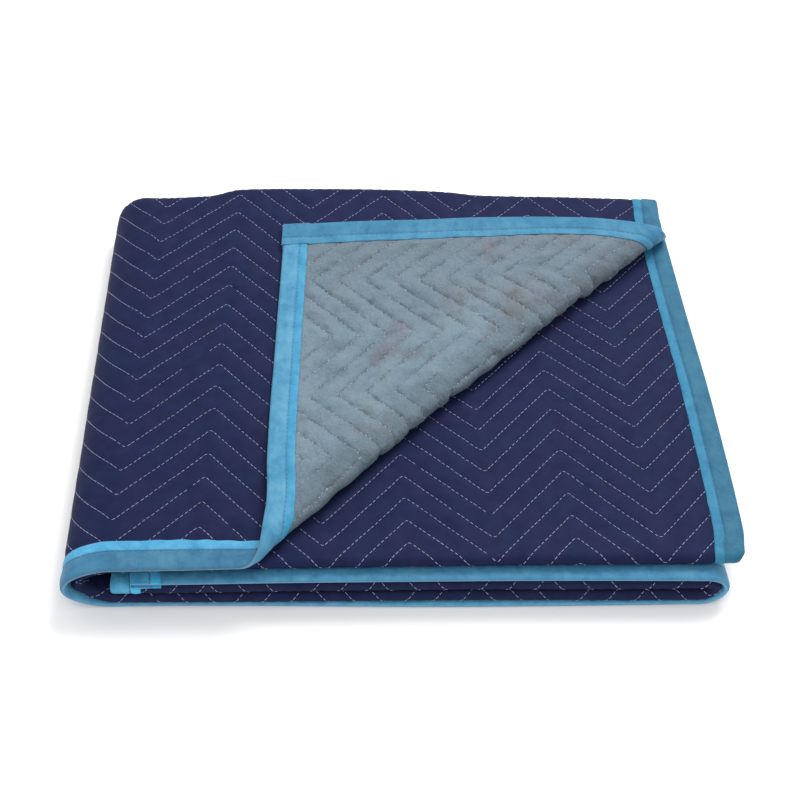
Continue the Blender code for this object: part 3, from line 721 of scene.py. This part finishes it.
def quilted_cloth(materials):
    """The cloth: two quilted skins joined at the cut edge."""
    navy = channel_lines(TOP, CHANNEL_LINES, CHANNEL_STEPS)
    navy += channel_lines(UNDER, UNDER_LINES, UNDER_STEPS)
    navy += channel_lines(MIDDLE, CHANNEL_LINES, CHANNEL_STEPS)
    grey = channel_lines(CORNER, FELT_LINES, FELT_STEPS)
    vertices, polygons, owners, rims, flats = [], [], [], [], []
    for side, lines, fine in ((1, navy, navy_shown), (-1, grey, corner_shown)):
        flat, faces = triangulate(cloth_outline(), lines, coarse_points(fine))
        first = sum(len(v) for v in vertices)
        vertices.append(fold_point(*flat.T, side * half_thickness(*flat.T, side, fine(*flat.T))))
        polygons += [tuple(first + k for k in f[::-side]) for f in faces]
        owners += [len(rims)] * len(faces)
        keys = [tuple(np.round(p, 5)) for p in flat]
        rims.append({(keys[i], keys[j]): (first + i, first + j) for i, j in rim(faces)})
        flats.append(flat)
    if rims[0].keys() != rims[1].keys():
        raise ValueError("the two skins end at different points")
    for key, (i, j) in rims[0].items():
        k, m = rims[1][key]
        polygons.append((i, j, m, k))
        owners.append(0)
    obj = new_object("quilted_blanket", np.concatenate(vertices), polygons, materials, owners)
    a, b = np.concatenate(flats).T
    give_vector(obj, "flat", (a, b, 0 * a))
    # the third value is the share over the roll, which the felt's material darkens as painted shade
    give_vector(obj, "quilt", (*phase(a, b), on_corner(a, b) * rolled(a, b)))
    face_outwards(obj)
    return obj


# Binding tape

NOSE = 0.0028
SEAM_NAVY = 0.01  # the tape's stitch line, in from its stitched edge
SEAM_GREY = 0.0088
CORNER_RAISE = 0.0013  # a tape that crosses another at a corner lies this much higher
INNER_SEAM = 0.017
STRAY = 0.0003
OUTER_STRIP, INNER_STRIP = 0.00075, 0.00045  # bulge of the tape either side of its seam
SEAM_DEPTH = 0.00035
WRINKLE = 0.00045
TAPE_STEP, HIDDEN_TAPE_STEP, THREAD_STEP = 0.0028, 0.005, 0.0008
NEVER = 2 * SHORT_SIDE


def seam_inset(side):
    return TAPE_WIDTH - (SEAM_NAVY if side > 0 else SEAM_GREY)


def tape_profile(side):
    """Places over one leg of the tape, from its fold to its stitched edge: (inset, height)."""
    turn = np.linspace(0, np.pi / 2, 6)
    profile = [(-TAPE_OVERHANG + NOSE * (1 - math.cos(t)), TAPE_OVER * math.sin(t)) for t in turn]
    seam = seam_inset(side)
    insets = [0.003, 0.0055, 0.0085, 0.0115, 0.014]
    insets += [seam + step for step in (-0.0012, -0.0004, 0, 0.0004, 0.0012, 0.003, 0.0052)]
    insets += [TAPE_WIDTH - 0.0018, TAPE_WIDTH - 0.0006]
    return profile + [(inset, TAPE_OVER) for inset in insets] + [(TAPE_WIDTH, TAPE_OVER - 0.0002)], seam


def tape_surface(along, inset, seam, seed):
    """Height of the tape's puffed strips beside its seam, with cross wrinkles."""
    outer = np.clip(inset / seam, 0, 1)
    inner = np.clip((inset - seam) / (TAPE_WIDTH - seam), 0, 1)
    crown = np.sin(np.pi * inner)
    strip = np.where(inset < seam, OUTER_STRIP * np.sin(np.pi * outer) ** 0.8, INNER_STRIP * crown)
    groove = -SEAM_DEPTH * np.exp(-(((inset - seam) / 0.0007) ** 2))
    wrinkles = ripples(along, 0.35 * inset, 0.02, seed) + 0.6 * ripples(along, 0.5 * inset, 0.009, seed + 1)
    fade = np.sin(np.pi * outer) ** 0.7 * (inset < seam) + 0.5 * crown * (inset >= seam)
    return strip + groove + WRINKLE * wrinkles * fade


def tape_columns():
    """Places round the tape's section: (side, inset, height, the seam's inset, 1 outside and 0 inside)."""
    columns = []
    for side in (-1, 1):
        profile, seam = tape_profile(side)
        rows = profile[::-1] if side < 0 else profile[1:]
        columns += [(side, inset, height, seam, 1) for inset, height in rows]
    inner = (TAPE_WIDTH, 0.018, 0.009, 0.002, -0.0004)
    columns += [(1, inset, TAPE_UNDER, INNER_SEAM, 0) for inset in inner]
    columns.append((1, -EDGE_GAP, 0, INNER_SEAM, 0))
    return columns + [(-1, inset, TAPE_UNDER, INNER_SEAM, 0) for inset in inner[::-1]]


def binding(name, material, places, to_cut, raised, seed):
    """Tape along one edge. places run along the edge and to_cut(along, inset) gives A and B."""
    columns = tape_columns()
    rings = []
    for side, inset, height, seam, outside in columns:
        stray = STRAY * ripples(places, 0 * places + side, 0.026, seed + 5)
        inset_here = inset + outside * stray * smoothstep((inset - seam) / 0.006)
        over = outside * tape_surface(places, np.maximum(inset_here, 0), seam, seed + side)
        n = side * (height + over * (height > 0.001) + raised(places))
        rings.append(fold_point(*to_cut(places, inset_here), n))
    points = np.stack(rings, axis=1)
    count, width = points.shape[:2]
    polygons = [tuple(range(width))[::-1], tuple(range((count - 1) * width, count * width))]
    for first in range(0, (count - 1) * width, width):
        for m in range(width):
            p = (m + 1) % width
            polygons.append((first + m, first + p, first + width + p, first + width + m))
    obj = new_object(name, points.reshape(-1, 3), polygons, [material])
    sides, insets = (np.tile([float(c[k]) for c in columns], count) for k in (0, 1))
    give_vector(obj, "tape", (np.repeat(places, width), insets, sides))
    face_outwards(obj)
    obj.data.set_sharp_from_angle(angle=math.radians(50))
    return obj


def level(places):
    return 0 * places


def raised_ends(b):
    """How much higher a short-edge tape lies where it crosses the long-edge tapes."""
    low = smoothstep((TAPE_WIDTH + 0.0022 - b) / 0.0014)
    high = smoothstep((b - SHORT_SIDE + TAPE_WIDTH + 0.0022) / 0.0014)
    return CORNER_RAISE * np.maximum(low, high)


def all_bindings():
    """The four tapes, and the stitches along their seams."""
    long_tape = tape_material("long_edge_tape", LONG_TAPE, A_LOW - 0.1)
    short_tape = tape_material("short_edge_tape", SHORT_TAPE)
    lit_tucked_tape = tape_material("tucked_edge_tape_painted_light", TUCKED_TAPE_PAINTED_LIGHT)
    front, inner = (
        dense([float(right_end(b)) - 0.0002, *FOLDS_A, float(tucked_end(b)) + 0.0002], step)
        for b, step in ((0.0, TAPE_STEP), (SHORT_SIDE, HIDDEN_TAPE_STEP))
    )
    marks = [-0.003, 0, TAPE_WIDTH, TAPE_WIDTH + 0.004, *FOLDS_B, SHORT_SIDE + 0.003]
    short = dense(marks, TAPE_STEP)
    edges = (  # the last function gives A and B of a place that lies d in from the edge
        ("front", long_tape, front, level, lambda a, d: (a, d * front_spread(a))),
        ("inner", long_tape, inner, level, lambda a, d: (a, SHORT_SIDE - d)),
        ("right", short_tape, short, raised_ends, lambda b, d: (right_end(b) + d * right_spread(b), b)),
        ("tucked", lit_tucked_tape, short, raised_ends, lambda b, d: (tucked_end(b) - d, b)),
    )
    pieces, sets = [], []
    for number, (name, material, places, raised, to_cut) in enumerate(edges):
        pieces.append(binding("tape_" + name, material, places, to_cut, raised, 101 + 100 * number))
        close = dense([places[0] + 0.002, places[-1] - 0.002], THREAD_STEP)
        for side in (-1, 1):
            sets.append(tape_thread(to_cut, close, side, raised(close), 61 + 2 * number + (side > 0)))
    return pieces, sets


# Stitches

Stitch = namedtuple("Stitch", "length gap radius sink skip")  # skip: the share that doesn't show
NAVY_STITCH = Stitch(0.0042, 0.0013, 0.00028, 0.00002, 0.004)
FOLD_STITCH = Stitch(0.0056, 0.0004, 0.00024, 0.00002, 0.004)
GREY_STITCH = Stitch(0.0022, 0.0046, 0.00042, 0.00002, 0.2)
PIN_STITCH = Stitch(0.002, 0.0048, 0.0006, 0.00042, 0.45)
TAPE_STITCH = Stitch(0.003, 0.0026, 0.00032, 0.0001, 0)
# Rings of a stitch: place along it, and radius and height as shares of its radius
RINGS = ((0, 0, -0.9), (0.06, 0.8, 0.2), (0.5, 1, 0.5), (0.94, 0.8, 0.2), (1, 0, -0.9))
RING_SIDES = 5
STITCH_CHANGES = (A_LEFT + 0.004, A_LOW)
THREAD_STEPS = 80
SKIP_A, SKIP_B, SKIP_REACH = 0.5145, 0.2596, 0.0165  # where the machine skipped a few stitches
STITCH_STRAY = 0.0002


def unit(vectors):
    return vectors / np.linalg.norm(vectors, axis=-1, keepdims=True)


def dashes(a, b, n, side, stitch, dice):
    """Stitches along a polyline of the flat cut: the points of each ring."""
    centre = fold_point(a, b, n)
    outward = fold_point(a, b, n + side * 0.001) - centre
    length = np.concatenate([[0], np.cumsum(np.linalg.norm(np.diff(centre, axis=0), axis=1))])
    count = round(length[-1] / (stitch.length + stitch.gap))
    if count < 1:
        return np.zeros((0, len(RINGS), RING_SIDES, 3))
    pitch = length[-1] / count
    starts = stitch.gap / 2 + pitch * np.arange(count) + dice.normal(0, STITCH_STRAY, count)
    spans = (pitch - stitch.gap) * dice.uniform(0.85, 1.05, count)
    keep = dice.uniform(0, 1, count) >= stitch.skip
    place, radius, height = np.array(RINGS).T
    at = starts[keep, None] + spans[keep, None] * place
    middle, normal = (
        np.stack([np.interp(at, length, v[:, k]) for k in range(3)], axis=-1) for v in (centre, outward)
    )
    normal = unit(normal)
    across = np.cross(unit(middle[:, -1:] - middle[:, :1]), normal)
    middle = middle + normal * (height * stitch.radius - stitch.sink)[:, None]
    angle = 2 * np.pi * np.arange(RING_SIDES)[:, None] / RING_SIDES
    ring = across[:, :, None] * np.cos(angle) + 0.8 * normal[:, :, None] * np.sin(angle)
    return middle[:, :, None] + ring * (radius * stitch.radius)[:, None, None]


def thread_object(name, sets, material):
    """One mesh of many stitches: each has a tip, its rings and another tip."""
    points = np.concatenate(sets)
    rings = points[:, 1:-1].reshape(len(points), -1, 3)
    vertices = np.concatenate([points[:, 0, :1], rings, points[:, -1, :1]], axis=1)
    size, sides = vertices.shape[1], RING_SIDES
    last = size - 1 - sides
    pattern = []
    for k in range(sides):
        p = (k + 1) % sides
        pattern.append((0, 1 + p, 1 + k))
        pattern += [(low + k, low + p, low + sides + p, low + sides + k) for low in range(1, last, sides)]
        pattern.append((last + k, last + p, size - 1))
    firsts = range(0, size * len(points), size)
    polygons = [tuple(first + corner for corner in face) for first in firsts for face in pattern]
    return new_object(name, vertices.reshape(-1, 3), polygons, [material])


def quilting_thread(quilting, seed, before, over=None):
    """Stitches along every row that shows, with another kind over the left fold."""
    stitches = (before, over or before, before)
    dice = np.random.default_rng(seed)
    side = quilting.side
    sets = []
    for points in row_points(quilting, range(FIRST_ROW, quilting.last_row), THREAD_STEPS):
        kinds = np.searchsorted(STITCH_CHANGES, points[:, 0])
        sewn = quilting.shown(*points.T) & (np.hypot(*(points - (SKIP_A, SKIP_B)).T) >= SKIP_REACH)
        for run in split_where(sewn, np.column_stack([points, kinds])):
            for kind in np.unique(run[:, 2]):
                a, b = run[run[:, 2] == kind, :2].T
                if len(a) > 2:
                    n = side * half_thickness(a, b, side, np.ones(len(a), bool))
                    sets.append(dashes(a, b, n, side, stitches[int(kind)], dice))
    return sets


def tape_thread(to_cut, places, side, lift, seed):
    """Stitches along a tape's seam on one leg."""
    dice = np.random.default_rng(seed)
    a, b = to_cut(places, seam_inset(side) + 0 * places)
    return dashes(a, b, side * (TAPE_OVER - 0.0003 + lift), side, TAPE_STITCH, dice)


# Materials


def material_nodes(name, **values):
    """A new material, its tree and its shader. Values are the shader's own, with _ for a space."""
    material = bpy.data.materials.new(name)
    material.use_nodes = True
    shader = material.node_tree.nodes["Principled BSDF"]
    for key, value in values.items():
        shader.inputs[key.replace("_", " ")].default_value = value
    return material, material.node_tree, shader


def feed(*pairs):
    """Gives each socket its value: another node's output, a colour or a number."""
    for value, socket in pairs:
        if hasattr(value, "is_output"):
            socket.id_data.links.new(value, socket)
        elif isinstance(value, tuple):
            socket.default_value = (*value, 1)
        else:
            socket.default_value = value


def tree_of(values):
    """The node tree of the first value that comes from a node."""
    return next(value.id_data for value in values if hasattr(value, "is_output"))


def add(tree, kind, **settings):
    node = tree.nodes.new(kind)
    for key, value in settings.items():
        if key in node.inputs:
            node.inputs[key].default_value = value
        else:
            setattr(node, key, value)
    return node


def vector_of(tree, attribute):
    return add(tree, "ShaderNodeAttribute", attribute_name=attribute).outputs["Vector"]


def noise(vector, scale, detail=4, rough=0.55):
    node = add(vector.id_data, "ShaderNodeTexNoise", Scale=scale, Detail=detail, Roughness=rough)
    feed((vector, node.inputs["Vector"]))
    return node.outputs["Fac"]


def ramp(factor, stops):
    node = add(factor.id_data, "ShaderNodeValToRGB")
    elements = node.color_ramp.elements
    while len(elements) < len(stops):
        elements.new(0.5)
    for element, (place, colour) in zip(elements, stops):
        element.position = place
        element.color = (*colour, 1)
    feed((factor, node.inputs["Fac"]))
    return node.outputs["Color"]


def mask(factor, low, high):
    """0 up to a low place of the factor, and 1 from a high one."""
    return ramp(factor, [(low, (0, 0, 0)), (high, (1, 1, 1))])


def mix(factor, first, second, blend="MIX"):
    node = add(tree_of((factor, first, second)), "ShaderNodeMix", data_type="RGBA", blend_type=blend)
    feed((factor, node.inputs[0]), (first, node.inputs[6]), (second, node.inputs[7]))
    return node.outputs[2]


def maths(operation, *values, clamp=False):
    node = add(tree_of(values), "ShaderNodeMath", operation=operation, use_clamp=clamp)
    feed(*zip(values, node.inputs))
    return node.outputs[0]


def times(first, second):
    return maths("MULTIPLY", first, second)


def tinted(colour, where, share, tint):
    """A colour mixed with a tint by a share, where a mask is 1."""
    return mix(times(where, share), colour, tint)


def bump(shader, height, strength, distance, below=None):
    node = add(shader.id_data, "ShaderNodeBump", Strength=strength, Distance=distance)
    feed((height, node.inputs["Height"]), (node.outputs["Normal"], shader.inputs["Normal"]))
    if below is not None:
        feed((below, node.inputs["Normal"]))
    return node.outputs["Normal"]


def weave(vector, scale):
    """Height of a plain weave: threads one way and the other."""
    heights = []
    tree = vector.id_data
    for direction in ("X", "Y"):
        node = add(tree, "ShaderNodeTexWave", bands_direction=direction, Scale=scale, Distortion=0.4)
        feed((3, node.inputs["Detail Scale"]), (vector, node.inputs["Vector"]))
        heights.append(node.outputs["Fac"])
    return times(*heights)


def closeness(offset, width):
    """1 where an offset is 0, falling to 0 at a width either side."""
    share = maths("DIVIDE", maths("ABSOLUTE", offset), width)
    return maths("SUBTRACT", 1, share, clamp=True)


def seam_closeness(row, width):
    """1 on a stitch line, falling to 0 at a distance given as a share of a channel."""
    place = maths("FRACT", maths("ADD", row, 100.5))
    return closeness(maths("SUBTRACT", place, 0.5), width)


def separated(vector):
    node = add(vector.id_data, "ShaderNodeSeparateXYZ")
    feed((vector, node.inputs[0]))
    return node.outputs


NAVY_DEEP = (0.0116, 0.0158, 0.054)
NAVY_BLUE = (0.0108, 0.0172, 0.0555)
NAVY_PURPLE = (0.0138, 0.0154, 0.0525)
NAVY_SEAM_SHADE = (0.008, 0.008, 0.026)
GREY_BASE = (0.142, 0.199, 0.243)
GREY_LIGHT = (0.159, 0.216, 0.253)
GREY_DARK = (0.113, 0.16, 0.196)
GREY_DULLER = (0.117, 0.15, 0.183)
STAIN_PINK = (0.142, 0.134, 0.156)
STAIN_BROWN = (0.124, 0.118, 0.123)
LONG_TAPE = (
    (0.038, 0.154, 0.264),
    (0.062, 0.295, 0.5),
    (0.064, 0.24, 0.388),
    (0.044, 0.245, 0.415),
)
SHORT_TAPE = (
    (0.018, 0.118, 0.205),
    (0.022, 0.17, 0.3),
    (0.033, 0.164, 0.285),
    (0.043, 0.195, 0.325),
)
# painted light: the tucked tape is coloured brighter, both legs alike, where it lies in shade under the
# plies above
TUCKED_TAPE_PAINTED_LIGHT = 2 * ((0.07, 0.33, 0.53), (0.07, 0.42, 0.7))
PAINTED_LIGHT_GAIN = (1.35, 1.38, 1.38)  # painted light: the long tape is brightened where it lies in shade under the plies above
TAPE_EDGE_WEAR_AND_HIGHLIGHT = (0.3496, 0.3344, 0.38)
THREAD = (0.38, 0.39, 0.6)
TAPE_THREAD = (0.0228, 0.0912, 0.1748)
PAINTED_FELT_SHADE = (0.05, 0.07, 0.085)
LINT = (0.36, 0.4, 0.41)
PIN_HOLE_SHADE = (0.0304, 0.0418, 0.0494)


def navy_material():
    sheen = {"Sheen_Weight": 0.01, "Sheen_Roughness": 0.5, "Sheen_Tint": (0.45, 0.45, 0.85, 1)}
    name = "navy_quilted_shell"
    material, tree, shader = material_nodes(name, Roughness=0.6, Specular_IOR_Level=0.05, **sheen)
    flat = vector_of(tree, "flat")
    tones = [(0.36, NAVY_BLUE), (0.5, NAVY_DEEP), (0.64, NAVY_PURPLE)]
    patches = ramp(noise(flat, 26, 6, 0.65), tones)
    mottle = ramp(noise(flat, 60, 3), [(0.3, (0.82, 0.82, 0.84)), (0.7, (1.16, 1.14, 1.12))])
    colour = mix(1, patches, mottle, "MULTIPLY")
    # painted shade: the navy face is darkened along its stitch lines
    seam = seam_closeness(separated(vector_of(tree, "quilt"))[0], 0.1)
    feed((tinted(colour, seam, 0.16, NAVY_SEAM_SHADE), shader.inputs["Base Color"]))
    crumple = bump(shader, noise(flat, 130, 3, 0.5), 0.35, 0.0008)
    bump(shader, weave(flat, 620), 0.25, 0.00012, crumple)
    return material


def grey_material():
    sheen = {"Sheen_Weight": 0.08, "Sheen_Roughness": 0.6, "Sheen_Tint": (0.8, 0.9, 1, 1)}
    name = "grey_felt_backing"
    material, tree, shader = material_nodes(name, Roughness=0.95, Specular_IOR_Level=0.05, **sheen)
    flat = vector_of(tree, "flat")
    a, b, _ = separated(flat)
    row, _, wear_and_roll_shade = separated(vector_of(tree, "quilt"))
    tones = [(0.34, GREY_DARK), (0.5, GREY_BASE), (0.64, GREY_LIGHT)]
    colour = ramp(noise(flat, 22, 6, 0.65), tones)
    # darker and duller near the cut end where A starts
    from_edge = ramp(a, [(0.03, (1, 1, 1)), (0.17, (0, 0, 0))])
    colour = tinted(colour, from_edge, 0.6, GREY_DULLER)
    soiling = maths("ADD", noise(flat, 12, 7, 0.72), times(b, 0.2))
    stain = ramp(noise(flat, 30, 2), [(0.4, STAIN_PINK), (0.6, STAIN_BROWN)])
    colour = tinted(colour, mask(soiling, 0.55, 0.67), 0.7, stain)
    # painted shade: the felt is darker over the roll of the turned corner
    colour = tinted(colour, wear_and_roll_shade, 0.34, PAINTED_FELT_SHADE)
    # painted shade: a thin dark line along each stitch line's groove
    colour = tinted(colour, seam_closeness(row, 0.035), 0.15, PAINTED_FELT_SHADE)
    # painted shade: dark specks near the stitch lines, for the shade in the needle holes
    seam = seam_closeness(row, 0.16)
    dark = mask(noise(flat, 520, 3, 0.6), 0.56, 0.61)
    colour = tinted(colour, dark, times(seam, 0.8), PAINTED_FELT_SHADE)
    light = mask(noise(flat, 640, 3, 0.6), 0.58, 0.63)
    colour = tinted(colour, light, maths("ADD", times(seam, 0.5), 0.14), LINT)
    fibres = noise(flat, 380, 5, 0.7)
    shades = ramp(fibres, [(0.3, (0.87, 0.87, 0.87)), (0.7, (1.11, 1.11, 1.11))])
    feed((mix(1, colour, shades, "MULTIPLY"), shader.inputs["Base Color"]))
    crumple = bump(shader, noise(flat, 55, 4, 0.6), 0.85, 0.0065)
    pills = bump(shader, noise(flat, 190, 3), 0.35, 0.0008, crumple)
    bump(shader, fibres, 0.4, 0.0004, pills)
    return material


def tape_material(name, tones, brightened_from=NEVER):
    """Binding tape. Tones are (outer strip, inner strip) on the navy leg, then on the grey leg."""
    sheen = {"Sheen_Weight": 0.04, "Sheen_Tint": (0.6, 0.85, 1, 1)}
    material, tree, shader = material_nodes(name, Roughness=0.55, Specular_IOR_Level=0.2, **sheen)
    coordinates = vector_of(tree, "tape")
    along, inset, leg = separated(coordinates)
    navy_leg = maths("GREATER_THAN", leg, 0)
    wander = times(maths("SUBTRACT", noise(coordinates, 40, 3), 0.5), 0.002)
    place = maths("ADD", inset, wander)
    past_seam = maths("SUBTRACT", place, TAPE_WIDTH - SEAM_NAVY + 0.0003)
    inner = maths("DIVIDE", past_seam, 0.0012, clamp=True)
    colour = mix(inner, *(mix(navy_leg, tones[2 + k], tones[k]) for k in (0, 1)))
    # painted light: the tape is brighter from brightened_from on along its length
    past = maths("SUBTRACT", along, brightened_from)
    brightened = mix(1, colour, PAINTED_LIGHT_GAIN, "MULTIPLY")
    colour = mix(maths("DIVIDE", past, 0.1, clamp=True), colour, brightened)
    # the seam line in the thread's colour: the thread itself, and painted shade in the seam's groove
    colour = tinted(colour, closeness(past_seam, 0.0011), 0.35, TAPE_THREAD)
    shades = [(0.36, (0.66, 0.78, 0.84)), (0.5, (1, 1, 1)), (0.64, (1.45, 1.16, 1.06))]
    wear_and_roll_shade = ramp(noise(coordinates, 45, 6, 0.7), shades)
    colour = mix(1, colour, wear_and_roll_shade, "MULTIPLY")
    # edge wear and a painted highlight: the tape's outermost edge is tinted pale
    outermost = maths("SUBTRACT", -0.0012, inset)
    edge = maths("DIVIDE", outermost, 0.0005, clamp=True)
    feed((tinted(colour, edge, 0.35, TAPE_EDGE_WEAR_AND_HIGHLIGHT), shader.inputs["Base Color"]))
    rumples = bump(shader, noise(coordinates, 90, 5, 0.65), 0.6, 0.0022)
    bump(shader, weave(coordinates, 700), 0.2, 0.0001, rumples)
    return material


def thread_material(name, colour):
    material, tree, shader = material_nodes(name, Roughness=0.6, Sheen_Weight=0.2)
    coordinates = add(tree, "ShaderNodeTexCoord").outputs["Object"]
    shade = tuple(0.8 * c for c in colour)
    twist = ramp(noise(coordinates, 80, 2), [(0.35, shade), (0.65, colour)])
    feed((twist, shader.inputs["Base Color"]))
    bump(shader, noise(coordinates, 1500, 2), 0.4, 0.0002)
    return material


# Studio

CAMERA_PLACE = (-0.0202, -0.9567, 1.13)
CAMERA_PITCH = 50.0
CAMERA_YAW = 1.224
LENS = 62.28
LIGHT_TARGET = Vector((0, 0, 0.03))
KEY_LIGHT = ((0.75, 1.15, 2), 1.1, 46)  # place, side and power
FILL_LIGHT = ((-0.5, -0.9, 2.2), 1.8, 10)
AMBIENT = 0.85
FLOOR_REACH = 4.0
FLOOR_COLOUR = (0.95, 0.95, 0.95, 1)


def camera():
    data = bpy.data.cameras.new("camera")
    data.lens = LENS
    obj = link("camera", data)
    obj.location = CAMERA_PLACE
    obj.rotation_euler = (math.radians(90 - CAMERA_PITCH), 0, math.radians(-CAMERA_YAW))
    bpy.context.scene.camera = obj


def area_light(name, place, side, power):
    data = bpy.data.lights.new(name, "AREA")
    data.size = side
    data.energy = power
    obj = link(name, data)
    obj.location = place
    obj.rotation_euler = (LIGHT_TARGET - Vector(place)).to_track_quat("-Z", "Y").to_euler()


def studio():
    world = bpy.data.worlds.new("studio")
    world.use_nodes = True
    background = world.node_tree.nodes["Background"]
    background.inputs["Color"].default_value = (1, 1, 1, 1)
    background.inputs["Strength"].default_value = AMBIENT
    bpy.context.scene.world = world
    bpy.context.scene.view_settings.view_transform = "Standard"
    area_light("key", *KEY_LIGHT)
    area_light("fill", *FILL_LIGHT)
    corners = [(x * FLOOR_REACH, y * FLOOR_REACH, 0) for x, y in ((-1, -1), (1, -1), (1, 1), (-1, 1))]
    material, _, _ = material_nodes("floor", Roughness=0.9, Base_Color=FLOOR_COLOUR)
    floor = new_object("floor", corners, [(0, 1, 2, 3)], [material])


def main():
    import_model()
    camera()
    studio()
    cloth = quilted_cloth([navy_material(), grey_material()])
    bindings, tape_sets = all_bindings()
    thread = thread_material("quilting_thread", THREAD)
    # painted shade: dark dashes sunk into the felt along its rows, for the shade in the needle holes
    pin_hole_shade = thread_material("painted_pin_hole_shade", PIN_HOLE_SHADE)
    navy_sets = quilting_thread(TOP, 51, NAVY_STITCH, FOLD_STITCH) + quilting_thread(MIDDLE, 52, NAVY_STITCH)
    stitches = [
        thread_object("navy_stitches", navy_sets, thread),
        thread_object("grey_stitches", quilting_thread(CORNER, 53, GREY_STITCH), thread),
        thread_object("grey_pin_hole_shade", quilting_thread(CORNER, 54, PIN_STITCH), pin_hole_shade),
    ]
    tape_stitches = thread_object("tape_stitches", tape_sets, thread_material("tape_thread", TAPE_THREAD))
    pieces = [cloth, *bindings, *stitches, tape_stitches]
    for piece in pieces:
        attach(piece, "root")
    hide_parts("quilted_cloth")
    nodes = ("binding_front", "binding_inner", "binding_right", "binding_tucked")
    for piece, node in zip(bindings, nodes):
        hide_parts(node)
    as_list(pieces[1:])


main()
